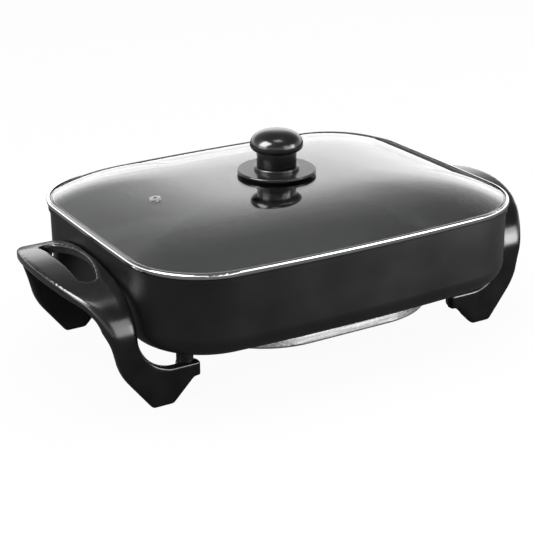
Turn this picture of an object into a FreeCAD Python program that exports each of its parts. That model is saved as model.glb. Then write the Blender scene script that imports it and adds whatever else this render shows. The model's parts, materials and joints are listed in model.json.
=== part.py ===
import FreeCAD, Part
import math
import os
import Sketcher

# Electric skillet with a lift-off glass lid.
# +X runs along the pan's length, +Y to the back, +Z up; the feet stand on z = 0.

doc = FreeCAD.newDocument("electric_skillet")
sizes = doc.addObject("Spreadsheet::Sheet", "Sizes")
derived = doc.addObject("App::VarSet", "Derived")
dome_names = []

# Places of the dome's sections: from the edge to the vent, then on to the crown.
SHOULDER_STEPS = (1.0, 0.88, 0.62, 0.3, 0.0)
CROWN_STEPS = (0.45, 0.0)

# Least volume that a cut takes, in cubic millimetres, and how level an edge has to be.
LEAST_CUT = 1.0
LEVEL_TOLERANCE = 0.01

# Driving dimensions in millimetres, degrees or plain ratios.
DRIVING = {
    # Outline of the lid band, which the pan follows
    "band_half_length": 206.0,
    "band_half_width": 165.0,
    "band_corner": 78.3,
    "long_side_radius": 2040.0,
    "short_side_radius": 6050.0,
    # Pan
    "pan_underside": 57.0,
    "pan_top": 135.8,
    "pan_wall": 3.2,
    "pan_base": 4.0,
    "pan_edge_radius": 21.0,
    "rim_lip": 1.6,
    "rim_lip_height": 5.0,
    # Sole plate with the buried element
    "sole_half_length": 150.0,
    "sole_inset": 21.6,
    "sole_corner": 76.0,
    "sole_thickness": 9.5,
    "sole_edge_radius": 3.5,
    "block_reach": 156.0,
    "block_depth": 26.0,
    "block_half_width": 24.0,
    "block_thickness": 16.0,
    # Sheathed heating element
    "element_radius": 3.6,
    "element_seat": 7.6,
    "element_half_length": 105.0,
    "element_half_width": 92.0,
    "element_bend": 26.0,
    "lead_bend": 12.0,
    "terminal_offset": 15.0,
    "lead_cover": 10.0,
    "channel_cut": 1.0,
    "running_clearance": 0.15,
    # Terminals and sensor sleeve
    "pin_radius": 2.38,
    "pin_root_radius": 1.7,
    "pin_shoulder_gap": 0.6,
    "pin_tip_share": 0.6,
    "pin_length": 34.0,
    "insulator_radius": 3.4,
    "insulator_length": 9.0,
    "insulator_seat": 5.0,
    "terminal_drop": 10.0,
    "sleeve_radius": 4.5,
    "sleeve_bore": 3.4,
    "sleeve_length": 32.0,
    "sleeve_floor": 2.0,
    # Guard round the socket
    "guard_reach": 198.0,
    "guard_half_width": 29.0,
    "guard_bottom": 36.0,
    "guard_sheet": 2.0,
    "guard_standoff": 1.0,
    "guard_trim": 1.0,
    "guard_flange": 15.0,
    "guard_flange_depth": 20.0,
    "guard_bend": 4.0,
    "guard_boss_height": 4.0,
    "guard_boss_radius": 6.0,
    "guard_screw_x": 170.0,
    # Handles, drawn for the right end
    "arch_half_width": 105.3,
    "arch_crown_radius": 253.0,
    "arch_shoulder": 44.0,
    "arch_top": 121.0,
    "arch_thickness": 9.5,
    "grip_reach": 263.5,
    "grip_plan_radius": 182.0,
    "toe_outer": 193.4,
    "toe_inner": 172.0,
    "shin_x": 222.5,
    "shin_z": 38.0,
    "shin_radius": 60.0,
    "knee_x": 233.0,
    "knee_z": 76.0,
    "knee_radius": 40.0,
    "knee_slope": 0.9,
    "grip_margin": 20.0,
    "arch_margin": 15.0,
    "trim_margin": 5.0,
    "handle_gap": 1.4,
    "inner_sweep_radius": 36.0,
    "opening_inner": 209.6,
    "opening_outer": 235.0,
    "opening_half_width": 52.0,
    "opening_bulge_radius": 130.0,
    "opening_corner": 7.0,
    # Mounting lugs of the handles and bosses of the pan
    "lug_x": 155.0,
    "lug_y": 94.0,
    "lug_radius": 9.0,
    "lug_bottom": 22.0,
    "lug_top": 36.5,
    "lug_end": 144.0,
    "boss_radius": 8.0,
    "boss_weld": 1.0,
    "boss_cover": 2.0,
    "counterbore_radius": 5.6,
    "counterbore_top": 27.0,
    # Screws and washers
    "screw_radius": 2.4,
    "screw_head_radius": 4.8,
    "screw_head_height": 3.2,
    "screw_length": 22.0,
    "screw_edge_share": 0.4,
    "hole_clearance": 0.3,
    "thread_clearance": 0.1,
    "hole_spare": 0.5,
    "counterbore_cut": 1.0,
    "washer_thickness": 1.2,
    "guard_screw_radius": 1.8,
    "guard_screw_head_radius": 3.6,
    "guard_screw_head_height": 2.2,
    "guard_screw_length": 7.5,
    # Lid band
    "band_overhang": 2.8,
    "band_height": 6.4,
    "band_wall": 3.0,
    "band_floor": 1.5,
    "band_bead": 2.6,
    "skirt_depth": 4.8,
    "skirt_wall": 1.5,
    "skirt_clearance": 1.2,
    # Lid glass
    "glass_clearance": 0.4,
    "glass_thickness": 4.0,
    "glass_edge_height": 3.7,
    "glass_crown": 163.8,
    "dome_power": 5.0,
    "crown_margin": 1.0,
    # Steam vent
    "vent_offset": 134.0,
    "vent_bore": 1.8,
    "vent_barrel": 3.2,
    "vent_flange": 5.2,
    "vent_flange_thickness": 0.9,
    "vent_clearance": 0.6,
    "vent_seat_gap": 0.1,
    "vent_under_gap": 0.2,
    "vent_roll_share": 0.6,
    # Knob stack
    "flange_radius": 39.2,
    "flange_height": 4.9,
    "flange_foot": 33.0,
    "flange_bore": 4.0,
    "flange_lip": 2.4,
    "flange_round": 1.1,
    "collar_radius": 22.4,
    "collar_height": 3.2,
    "collar_round_share": 0.4,
    "neck_radius": 19.7,
    "neck_length": 14.0,
    "neck_fillet": 3.0,
    "cap_radius": 26.3,
    "cap_height": 22.0,
    "cap_underside": 3.0,
    "cap_underside_round": 3.5,
    "cap_crown_radius": 12.0,
    "insert_radius": 4.4,
    "insert_length": 14.0,
    "insert_clearance": 0.05,
    "gasket_radius": 9.5,
    "gasket_thickness": 1.2,
    "knob_washer_radius": 8.0,
    "knob_screw_length": 26.0,
}


def fill_sheet():
    """Write one alias and one plain number per row."""
    for row, (alias, number) in enumerate(DRIVING.items(), start=1):
        sizes.set("A%d" % row, alias)
        sizes.set("B%d" % row, str(number))
        sizes.setAlias("B%d" % row, alias)
    doc.recompute()


def derive(name, formula):
    """Add a worked-out size, kept as a formula of the driving dimensions."""
    derived.addProperty("App::PropertyFloat", name, "Derived")
    derived.setExpression(name, formula)
    doc.recompute([derived])
    return "Derived." + name


def value(name):
    """Number behind a name such as Sizes.pan_wall, -Derived.x or 0."""
    if name == "0":
        return 0.0
    if name.startswith("-"):
        return -value(name[1:])
    owner, alias = name.split(".")
    if owner == "Sizes":
        return float(sizes.get(alias))
    return float(getattr(derived, alias))


# Outlines with bowed sides, all parallel to the lid band's

def derive_outline(name, inset):
    """Name the five sizes of the band's outline moved inwards by an inset."""
    for size in ("half_length", "half_width", "corner"):
        derive(name + "_" + size, "Sizes.band_%s - (%s)" % (size, inset))
    for size in ("long_side_radius", "short_side_radius"):
        derive(name + "_" + size, "Sizes.%s - (%s)" % (size, inset))


def derive_scaled(name, base, share):
    """Name the five sizes of an outline shrunk towards its centre."""
    for size in ("half_length", "half_width", "corner", "long_side_radius", "short_side_radius"):
        derive(name + "_" + size, "Derived.%s_%s * %s" % (base, size, share))


def derive_dome():
    """Sizes of the dome's sections, from the upright edge to the flat crown."""
    shares = ["Derived.vent_share + (1 - Derived.vent_share) * %s" % step for step in SHOULDER_STEPS]
    span = "(Derived.vent_share - Derived.crown_share)"
    shares += ["Derived.crown_share + %s * %s" % (span, step) for step in CROWN_STEPS]
    for number, share in enumerate(shares):
        name = "ring%d" % number
        dome_names.append(name)
        derive(name + "_share", share)
        drop = "(Derived.%s_share ^ Sizes.dome_power)" % name
        derive(name + "_z", "Derived.glass_edge_top + Derived.dome_rise * (1 - %s)" % drop)
        derive(name + "_inner_z", "Derived.%s_z - Sizes.glass_thickness" % name)
        derive_scaled(name, "glass", "Derived." + name + "_share")
        derive_scaled(name + "_inner", "hollow", "Derived." + name + "_share")


def derive_sizes():
    """Every worked-out size, before any sketch reads one."""
    derive_outline("pan", "Sizes.band_overhang")
    derive_outline("cavity", "Sizes.band_overhang + Sizes.pan_wall")
    derive_outline("lip", "Sizes.band_overhang - Sizes.rim_lip")
    derive_outline("band", "0")
    derive_outline("seat", "Sizes.band_wall")
    derive_outline("glass", "Sizes.band_wall + Sizes.glass_clearance")
    derive_outline("hollow", "Sizes.band_wall + Sizes.glass_clearance + Sizes.glass_thickness")
    skirt_inset = "Sizes.band_overhang + Sizes.pan_wall + Sizes.skirt_clearance"
    derive_outline("skirt", skirt_inset)
    derive_outline("throat", skirt_inset + " + Sizes.skirt_wall")

    derive("pan_height", "Sizes.pan_top - Sizes.pan_underside")
    derive("pan_floor", "Sizes.pan_underside + Sizes.pan_base")
    derive("cavity_edge_radius", "Sizes.pan_edge_radius - Sizes.pan_wall")
    derive("lip_bottom", "Sizes.pan_top - Sizes.rim_lip_height")

    derive("sole_half_width", "Derived.pan_half_width - Sizes.sole_inset")
    derive("sole_long_side_radius", "Sizes.long_side_radius")
    derive("sole_short_side_radius", "Sizes.short_side_radius")
    derive("sole_half_length", "Sizes.sole_half_length")
    derive("sole_corner", "Sizes.sole_corner")
    derive("sole_bottom", "Sizes.pan_underside - Sizes.sole_thickness")
    derive("block_bottom", "Sizes.pan_underside - Sizes.block_thickness")
    derive("block_start", "Sizes.block_reach - Sizes.block_depth")
    derive("channel_floor", "Sizes.pan_underside - Sizes.element_seat")
    derive("element_z", "Derived.channel_floor + Sizes.element_radius")
    derive("channel_half_width", "Sizes.element_radius + Sizes.running_clearance")
    derive("channel_left", "-Sizes.terminal_offset - Derived.channel_half_width")
    derive("channel_right", "-Sizes.terminal_offset + Derived.channel_half_width")
    derive("channel_above", "Sizes.pan_underside + Sizes.channel_cut")
    derive("lead_end", "Sizes.block_reach - Sizes.lead_cover")
    derive("insulator_bore", "Sizes.pin_root_radius + Sizes.running_clearance")
    derive("insulator_hole", "Sizes.insulator_radius + Sizes.running_clearance")
    derive("pin_root", "Sizes.block_reach - Sizes.insulator_seat")
    derive("pin_tip", "Sizes.pin_radius * Sizes.pin_tip_share")
    derive("pin_shoulder", "Sizes.insulator_length + Sizes.pin_shoulder_gap")
    derive("terminal_z", "Sizes.pan_underside - Sizes.terminal_drop")

    derive("guard_start", "Sizes.block_reach + Sizes.guard_standoff")
    derive("guard_inner_half", "Sizes.guard_half_width - Sizes.guard_sheet")
    derive("guard_floor", "Sizes.guard_bottom + Sizes.guard_sheet")
    derive("guard_outer_half", "Sizes.guard_half_width + Sizes.guard_flange")
    derive("guard_seat", "Sizes.pan_underside - Sizes.guard_boss_height")
    derive("guard_flange_bottom", "Derived.guard_seat - Sizes.guard_sheet")
    derive("guard_inner_bend", "Sizes.guard_bend - Sizes.guard_sheet")
    derive("guard_flange_start", "Sizes.guard_screw_x - Sizes.guard_flange_depth / 2")
    derive("guard_flange_end", "Sizes.guard_screw_x + Sizes.guard_flange_depth / 2")
    derive("guard_screw_y", "Sizes.guard_half_width + Sizes.guard_flange / 2")
    derive("guard_hole", "Sizes.guard_screw_radius + Sizes.hole_clearance")
    derive("guard_hole_top", "Derived.guard_flange_bottom + Sizes.guard_screw_length + Sizes.hole_spare")
    derive("guard_trim_start", "Derived.guard_start - Sizes.guard_trim")
    derive("guard_trim_end", "Sizes.guard_reach + Sizes.guard_trim")
    derive("guard_trim_side", "Derived.guard_outer_half + Sizes.guard_trim")

    for kind in ("", "guard_"):
        head = "Sizes." + kind + "screw_head_height"
        shank = "Sizes." + kind + "screw_radius"
        derive(kind + "screw_low", "-" + head)
        derive(kind + "screw_edge", head + " * Sizes.screw_edge_share")
        derive(kind + "screw_tip", shank + " * Sizes.screw_edge_share")

    derive("handle_inner", "Derived.pan_half_length + Sizes.handle_gap")
    derive("grip_centre", "Sizes.grip_reach - Sizes.grip_plan_radius")
    derive("grip_clear", "Sizes.grip_reach + Sizes.grip_margin")
    derive("arch_clear", "Sizes.arch_half_width + Sizes.arch_margin")
    derive("knee_out_z", "Sizes.knee_z + (Derived.grip_clear - Sizes.knee_x) * Sizes.knee_slope")
    derive("under_arch_half_width", "Sizes.arch_half_width - Sizes.arch_thickness")
    derive("under_arch_crown_radius", "Sizes.arch_crown_radius - Sizes.arch_thickness")
    derive("under_arch_shoulder", "Sizes.arch_shoulder - Sizes.arch_thickness")
    derive("under_arch_top", "Sizes.arch_top - Sizes.arch_thickness")
    derive("arch_length", "Derived.grip_clear - Sizes.lug_end")
    derive("toe_slope_x", "Sizes.toe_inner - Sizes.lug_bottom")
    derive("inner_clear", "Sizes.lug_end - Sizes.trim_margin")
    derive("below_floor", "-Sizes.trim_margin")
    derive("toe_slope_below", "Sizes.toe_inner + Sizes.trim_margin")
    shin_slope = "(Sizes.shin_x - Sizes.toe_outer) / Sizes.shin_z"
    derive("shin_below_x", "Sizes.toe_outer - Sizes.trim_margin * " + shin_slope)
    derive("above_arch", "Sizes.arch_top + Sizes.trim_margin")
    derive("opening_bulge_centre", "Sizes.opening_inner + Sizes.opening_bulge_radius")
    derive("lug_hole", "Sizes.screw_radius + Sizes.hole_clearance")
    derive("boss_hole", "Sizes.screw_radius + Sizes.thread_clearance")
    derive("boss_hole_top", "Derived.pan_floor - Sizes.boss_cover")
    derive("washer_bottom", "Sizes.counterbore_top - Sizes.washer_thickness")

    derive("band_bottom", "Sizes.pan_top")
    derive("glass_bottom", "Derived.band_bottom + Sizes.band_floor")
    derive("glass_edge_top", "Derived.glass_bottom + Sizes.glass_edge_height")
    derive("dome_rise", "Sizes.glass_crown - Derived.glass_edge_top")
    derive("skirt_bottom", "Derived.band_bottom - Sizes.skirt_depth")
    derive("skirt_height", "Sizes.skirt_depth + Sizes.band_floor")
    derive("seat_depth", "Sizes.band_height - Sizes.band_floor")
    derive("band_top", "Derived.band_bottom + Sizes.band_height")
    derive("vent_share", "Sizes.vent_offset / Derived.glass_half_length")
    derive("crown_share", "(Sizes.flange_radius + Sizes.crown_margin) / Derived.glass_half_width")
    derive("vent_inner_share", "Sizes.vent_offset / Derived.hollow_half_length")
    height = "Derived.glass_edge_top + Derived.dome_rise * (1 - Derived.%s ^ Sizes.dome_power)"
    derive("vent_z", height % "vent_share")
    derive("vent_inner_z", height % "vent_inner_share" + " - Sizes.glass_thickness")
    slope = "Derived.dome_rise * Sizes.dome_power * Derived.vent_share ^ (Sizes.dome_power - 1)"
    derive("vent_slope", slope + " / Derived.glass_half_length")
    derive("vent_hole", "Sizes.vent_barrel + Sizes.vent_clearance")
    derive("vent_rise", "Sizes.vent_seat_gap + Sizes.vent_flange_thickness")
    derive("vent_low", "Derived.vent_inner_z - Derived.vent_z - Sizes.vent_under_gap")
    derive("vent_lower", "Derived.vent_low - Sizes.vent_flange_thickness")
    derive("vent_roll", "Sizes.vent_flange_thickness * Sizes.vent_roll_share")
    derive_dome()

    derive("crown_outside", "Derived.%s_z" % dome_names[-1])
    derive("crown_inside", "Derived.%s_inner_z" % dome_names[-1])
    derive("flange_top", "Derived.crown_outside + Sizes.flange_height")
    derive("flange_lip_z", "Derived.flange_top - Sizes.flange_lip")
    derive("collar_top", "Derived.flange_top + Sizes.collar_height")
    derive("collar_round", "Sizes.collar_height * Sizes.collar_round_share")
    derive("neck_top", "Derived.collar_top + Sizes.neck_length")
    derive("cap_low", "Derived.neck_top + Sizes.cap_underside")
    derive("cap_top", "Derived.neck_top + Sizes.cap_height")
    derive("insert_top", "Derived.collar_top + Sizes.insert_length")
    derive("insert_bore", "Sizes.screw_radius + Sizes.running_clearance")
    derive("knob_hole", "Sizes.insert_radius + Sizes.insert_clearance")
    derive("stack_hole", "Sizes.screw_radius + Sizes.hole_clearance")
    derive("gasket_bottom", "Derived.crown_inside - Sizes.gasket_thickness")
    derive("knob_washer_bottom", "Derived.gasket_bottom - Sizes.washer_thickness")


# Sketch helpers

def plane_of(body, role):
    """The body's own origin plane with the given role."""
    for feature in body.Origin.OriginFeatures:
        if feature.Role == role:
            return feature
    raise ValueError("no origin plane " + role)


def new_sketch(body, name, role, offset="0"):
    """A sketch on an origin plane of its body, moved along the plane's normal."""
    sketch = body.newObject("Sketcher::SketchObject", name)
    sketch.AttachmentSupport = [(plane_of(body, role), "")]
    sketch.MapMode = "FlatFace"
    if offset != "0":
        sketch.AttachmentOffset.Base.z = value(offset)
        sketch.setExpression("AttachmentOffset.Base.z", offset)
    doc.recompute()
    return sketch


def bind(sketch, kind, where, name):
    """Add a dimensional constraint tied to a named size."""
    index = sketch.addConstraint(Sketcher.Constraint(kind, *where, value(name)))
    sketch.setExpression("Constraints[%d]" % index, name)


def place_point(sketch, geometry, position, x, y):
    """Hold a point at named coordinates from the sketch's origin."""
    if x == "0":
        sketch.addConstraint(Sketcher.Constraint("PointOnObject", geometry, position, -2))
    else:
        bind(sketch, "DistanceX", (-1, 1, geometry, position), x)
    if y == "0":
        sketch.addConstraint(Sketcher.Constraint("PointOnObject", geometry, position, -1))
    else:
        bind(sketch, "DistanceY", (-1, 1, geometry, position), y)


def corner_arc(last, corner, following, radius):
    """Arc that rounds a corner, with its two end points in running order."""
    back = (last - corner).normalize()
    ahead = (following - corner).normalize()
    half_angle = back.getAngle(ahead) / 2
    cut = radius / math.tan(half_angle)
    centre = corner + (back + ahead).normalize() * (radius / math.sin(half_angle))
    first = corner + back * cut
    final = corner + ahead * cut
    left_turn = (corner - last).cross(following - corner).z > 0
    start, end = (first, final) if left_turn else (final, first)
    start_angle = math.atan2(start.y - centre.y, start.x - centre.x)
    end_angle = math.atan2(end.y - centre.y, end.x - centre.x)
    if end_angle < start_angle:
        end_angle += 2 * math.pi
    circle = Part.Circle(centre, FreeCAD.Vector(0, 0, 1), radius)
    return Part.ArcOfCircle(circle, start_angle, end_angle), first, final, left_turn


def draw_outline(sketch, corners):
    """Closed outline through named corners, each sharp or rounded by a named radius."""
    count = len(corners)
    points = [FreeCAD.Vector(value(x), value(y), 0) for x, y, radius in corners]
    leave = list(points)
    arrive = list(points)
    arcs = {}
    for i in range(count):
        radius = corners[i][2]
        if radius is None:
            continue
        arc, first, final, left_turn = corner_arc(points[i - 1], points[i], points[(i + 1) % count], value(radius))
        arrive[i] = first
        leave[i] = final
        arcs[i] = (sketch.addGeometry(arc, False), left_turn)
    lines = []
    for i in range(count):
        edge = Part.LineSegment(leave[i], arrive[(i + 1) % count])
        lines.append(sketch.addGeometry(edge, False))
    for i in range(count):
        x, y, radius = corners[i]
        marker = sketch.addGeometry(Part.Point(points[i]), True)
        place_point(sketch, marker, 1, x, y)
        before = lines[i - 1]
        after = lines[i]
        if radius is None:
            sketch.addConstraint(Sketcher.Constraint("Coincident", before, 2, marker, 1))
            sketch.addConstraint(Sketcher.Constraint("Coincident", after, 1, marker, 1))
            continue
        arc, left_turn = arcs[i]
        first_end, final_end = (1, 2) if left_turn else (2, 1)
        sketch.addConstraint(Sketcher.Constraint("PointOnObject", marker, 1, before))
        sketch.addConstraint(Sketcher.Constraint("PointOnObject", marker, 1, after))
        sketch.addConstraint(Sketcher.Constraint("Tangent", before, 2, arc, first_end))
        sketch.addConstraint(Sketcher.Constraint("Tangent", arc, final_end, after, 1))
        bind(sketch, "Radius", (arc,), radius)


def draw_circle(sketch, x, y, radius):
    """Circle with a named centre and radius."""
    centre = FreeCAD.Vector(value(x), value(y), 0)
    circle = Part.Circle(centre, FreeCAD.Vector(0, 0, 1), value(radius))
    index = sketch.addGeometry(circle, False)
    place_point(sketch, index, 3, x, y)
    bind(sketch, "Radius", (index,), radius)


def draw_bowed(sketch, name):
    """Rounded rectangle whose four sides bow outwards, from five derived sizes."""
    prefix = "Derived." + name
    half_length = value(prefix + "_half_length")
    half_width = value(prefix + "_half_width")
    corner = value(prefix + "_corner")
    long_radius = value(prefix + "_long_side_radius")
    short_radius = value(prefix + "_short_side_radius")
    # The corner's centre lies at a fixed distance from the centres of its two side arcs.
    side_x = half_length - short_radius
    side_y = half_width - long_radius
    centre = FreeCAD.Vector(half_length - corner, half_width - corner, 0)
    for step in range(60):
        reach_y = long_radius - corner
        centre.y = side_y + math.sqrt(reach_y ** 2 - centre.x ** 2)
        reach_x = short_radius - corner
        centre.x = side_x + math.sqrt(reach_x ** 2 - centre.y ** 2)
    long_angle = math.atan2(centre.y - side_y, centre.x)
    short_angle = math.atan2(centre.y, centre.x - side_x)
    right = (side_x, 0, short_radius, -short_angle, short_angle)
    top = (0, side_y, long_radius, long_angle, math.pi - long_angle)
    left = (-side_x, 0, short_radius, math.pi - short_angle, math.pi + short_angle)
    bottom = (0, -side_y, long_radius, math.pi + long_angle, 2 * math.pi - long_angle)
    sides = [right, top, left, bottom]
    signs = [(1, 1), (-1, 1), (-1, -1), (1, -1)]
    arcs = []
    for i in range(4):
        x, y, radius, start, end = sides[i]
        arcs.append(add_arc(sketch, x, y, radius, start, end))
        sign_x, sign_y = signs[i]
        turn_start = end
        turn_end = sides[(i + 1) % 4][3]
        if turn_end < turn_start:
            turn_end += 2 * math.pi
        arcs.append(add_arc(sketch, sign_x * centre.x, sign_y * centre.y, corner, turn_start, turn_end))
    for i in range(8):
        sketch.addConstraint(Sketcher.Constraint("Tangent", arcs[i], 2, arcs[(i + 1) % 8], 1))
    for i in (1, 3, 5, 7):
        bind(sketch, "Radius", (arcs[i],), prefix + "_corner")
    for i in (0, 4):
        sketch.addConstraint(Sketcher.Constraint("PointOnObject", arcs[i], 3, -1))
        bind(sketch, "Radius", (arcs[i],), prefix + "_short_side_radius")
    for i in (2, 6):
        sketch.addConstraint(Sketcher.Constraint("PointOnObject", arcs[i], 3, -2))
        bind(sketch, "Radius", (arcs[i],), prefix + "_long_side_radius")
    side_distance(sketch, "DistanceX", arcs[0], side_x, prefix + "_half_length", prefix + "_short_side_radius", 1)
    side_distance(sketch, "DistanceX", arcs[4], -side_x, prefix + "_half_length", prefix + "_short_side_radius", -1)
    side_distance(sketch, "DistanceY", arcs[2], side_y, prefix + "_half_width", prefix + "_long_side_radius", 1)
    side_distance(sketch, "DistanceY", arcs[6], -side_y, prefix + "_half_width", prefix + "_long_side_radius", -1)


def add_arc(sketch, x, y, radius, start, end):
    """Counter-clockwise arc in a sketch."""
    circle = Part.Circle(FreeCAD.Vector(x, y, 0), FreeCAD.Vector(0, 0, 1), radius)
    return sketch.addGeometry(Part.ArcOfCircle(circle, start, end), False)


def side_distance(sketch, kind, arc, distance, reach, radius, sign):
    """Hold a side arc's centre so that the arc's apex is at its reach from the middle."""
    index = sketch.addConstraint(Sketcher.Constraint(kind, -1, 1, arc, 3, distance))
    formula = "%s - %s" % (reach, radius) if sign > 0 else "%s - %s" % (radius, reach)
    sketch.setExpression("Constraints[%d]" % index, formula)


def draw_hoop(sketch, prefix):
    """Filled arch: two upright legs, two round shoulders and one shallow crown arc."""
    half_width = value(prefix + "arch_half_width")
    crown = value(prefix + "arch_crown_radius")
    shoulder = value(prefix + "arch_shoulder")
    top = value(prefix + "arch_top")
    crown_y = top - crown
    shoulder_x = half_width - shoulder
    shoulder_y = crown_y + math.sqrt((crown - shoulder) ** 2 - shoulder_x ** 2)
    angle = math.atan2(shoulder_y - crown_y, shoulder_x)
    base = FreeCAD.Vector(-half_width, 0, 0)
    toe = FreeCAD.Vector(half_width, 0, 0)
    bottom = sketch.addGeometry(Part.LineSegment(base, toe), False)
    right = sketch.addGeometry(Part.LineSegment(toe, FreeCAD.Vector(half_width, shoulder_y, 0)), False)
    turn_right = add_arc(sketch, shoulder_x, shoulder_y, shoulder, 0, angle)
    over = add_arc(sketch, 0, crown_y, crown, angle, math.pi - angle)
    turn_left = add_arc(sketch, -shoulder_x, shoulder_y, shoulder, math.pi - angle, math.pi)
    left = sketch.addGeometry(Part.LineSegment(FreeCAD.Vector(-half_width, shoulder_y, 0), base), False)
    sketch.addConstraint(Sketcher.Constraint("Coincident", bottom, 2, right, 1))
    sketch.addConstraint(Sketcher.Constraint("Tangent", right, 2, turn_right, 1))
    sketch.addConstraint(Sketcher.Constraint("Tangent", turn_right, 2, over, 1))
    sketch.addConstraint(Sketcher.Constraint("Tangent", over, 2, turn_left, 1))
    sketch.addConstraint(Sketcher.Constraint("Tangent", turn_left, 2, left, 1))
    sketch.addConstraint(Sketcher.Constraint("Coincident", left, 2, bottom, 1))
    sketch.addConstraint(Sketcher.Constraint("Vertical", right))
    sketch.addConstraint(Sketcher.Constraint("Vertical", left))
    place_point(sketch, bottom, 1, "-" + prefix + "arch_half_width", "0")
    place_point(sketch, bottom, 2, prefix + "arch_half_width", "0")
    sketch.addConstraint(Sketcher.Constraint("PointOnObject", over, 3, -2))
    bind(sketch, "Radius", (over,), prefix + "arch_crown_radius")
    index = sketch.addConstraint(Sketcher.Constraint("DistanceY", -1, 1, over, 3, crown_y))
    sketch.setExpression("Constraints[%d]" % index, "%sarch_top - %sarch_crown_radius" % (prefix, prefix))
    bind(sketch, "Radius", (turn_right,), prefix + "arch_shoulder")
    bind(sketch, "Radius", (turn_left,), prefix + "arch_shoulder")


# Feature helpers

def new_body(label):
    """A body that becomes the sub-part of that name."""
    body = doc.addObject("PartDesign::Body", label)
    body.Label = label
    return body


def pad(body, sketch, length, reversed_way=False):
    """Add material from a sketch, over a length given as a formula."""
    feature = body.newObject("PartDesign::Pad", sketch.Name + "_pad")
    feature.Profile = sketch
    feature.setExpression("Length", length)
    feature.Reversed = reversed_way
    sketch.Visibility = False
    doc.recompute()
    return feature


def pocket(body, sketch, length=None, reversed_way=False):
    """Remove material from a sketch: over a length, or both ways through everything."""
    before = body.Shape.Volume
    feature = body.newObject("PartDesign::Pocket", sketch.Name + "_pocket")
    feature.Profile = sketch
    if length is None:
        feature.Type = "ThroughAll"
        feature.Midplane = True
    else:
        feature.setExpression("Length", length)
        feature.Reversed = reversed_way
    doc.recompute()
    if body.Shape.Volume > before - LEAST_CUT:
        raise ValueError("nothing cut by " + feature.Name)
    return feature


def round_edges(body, base, edges, radius, name):
    """Fillet the given edges of a feature by a named radius."""
    if not edges:
        raise ValueError("no edges to round for " + name)
    feature = body.newObject("PartDesign::Fillet", name)
    feature.Base = (base, edges)
    feature.setExpression("Radius", radius)
    doc.recompute()
    return feature


def edges_at(shape, height):
    """Names of the edges that lie flat at a height."""
    names = []
    for number, edge in enumerate(shape.Edges, start=1):
        box = edge.BoundBox
        if max(abs(box.ZMin - height), abs(box.ZMax - height)) > LEVEL_TOLERANCE:
            continue
        names.append("Edge%d" % number)
    return names


def turned(label, corners, x="0", y="0", z="0", along_x=False):
    """A piece turned about its own Z axis, then set in place, upright or along X."""
    body = new_body(label)
    sketch = new_sketch(body, label + "_profile", "XZ_Plane")
    draw_outline(sketch, corners)
    doc.recompute()
    feature = body.newObject("PartDesign::Revolution", label + "_turned")
    feature.Profile = sketch
    feature.ReferenceAxis = (sketch, ["V_Axis"])
    feature.Angle = 360.0
    sketch.Visibility = False
    if along_x:
        body.Placement.Rotation = FreeCAD.Rotation(FreeCAD.Vector(0, 1, 0), 90)
    for axis, name in (("x", x), ("y", y), ("z", z)):
        if name != "0":
            body.setExpression("Placement.Base." + axis, name)
    doc.recompute()
    return body


# Pan, sole and heating

def make_pan():
    """Cast pan: bowed rectangular wall, wide bottom radius, rim lip and four handle bosses."""
    body = new_body("skillet_pan")
    outside = new_sketch(body, "pan_outside", "XY_Plane", "Sizes.pan_underside")
    draw_bowed(outside, "pan")
    pad(body, outside, "Derived.pan_height")
    lip = new_sketch(body, "pan_lip", "XY_Plane", "Derived.lip_bottom")
    draw_bowed(lip, "lip")
    pad(body, lip, "Sizes.rim_lip_height")
    inside = new_sketch(body, "pan_inside", "XY_Plane", "Sizes.pan_top")
    draw_bowed(inside, "cavity")
    cavity = pocket(body, inside, "Sizes.pan_top - Derived.pan_floor")
    floor = edges_at(cavity.Shape, value("Derived.pan_floor"))
    rounded = round_edges(body, cavity, floor, "Derived.cavity_edge_radius", "pan_inner_radius")
    bottom = edges_at(rounded.Shape, value("Sizes.pan_underside"))
    round_edges(body, rounded, bottom, "Sizes.pan_edge_radius", "pan_bottom_radius")
    for i, (sign_x, sign_y) in enumerate(((1, 1), (-1, 1), (-1, -1), (1, -1)), start=1):
        boss = new_sketch(body, "pan_boss_%d" % i, "XY_Plane", "Sizes.lug_top")
        draw_circle(boss, signed(sign_x, "Sizes.lug_x"), signed(sign_y, "Sizes.lug_y"), "Sizes.boss_radius")
        pad(body, boss, "Sizes.pan_underside - Sizes.lug_top + Sizes.boss_weld")
    for i, sign_y in enumerate((1, -1), start=1):
        boss = new_sketch(body, "guard_boss_%d" % i, "XY_Plane", "Derived.guard_seat")
        draw_circle(boss, "Sizes.guard_screw_x", signed(sign_y, "Derived.guard_screw_y"), "Sizes.guard_boss_radius")
        pad(body, boss, "Sizes.guard_boss_height + Sizes.boss_weld")
    for i, (sign_x, sign_y) in enumerate(((1, 1), (-1, 1), (-1, -1), (1, -1)), start=1):
        hole = new_sketch(body, "boss_hole_%d" % i, "XY_Plane", "Sizes.lug_top")
        draw_circle(hole, signed(sign_x, "Sizes.lug_x"), signed(sign_y, "Sizes.lug_y"), "Derived.boss_hole")
        pocket(body, hole, "Derived.boss_hole_top - Sizes.lug_top", True)
    for i, sign_y in enumerate((1, -1), start=1):
        hole = new_sketch(body, "guard_hole_%d" % i, "XY_Plane", "Derived.guard_seat")
        draw_circle(hole, "Sizes.guard_screw_x", signed(sign_y, "Derived.guard_screw_y"), "Sizes.guard_screw_radius")
        pocket(body, hole, "Derived.guard_hole_top - Derived.guard_seat", True)
    return body


def signed(sign, name):
    """A name or its negative."""
    return name if sign > 0 else "-" + name


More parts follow.
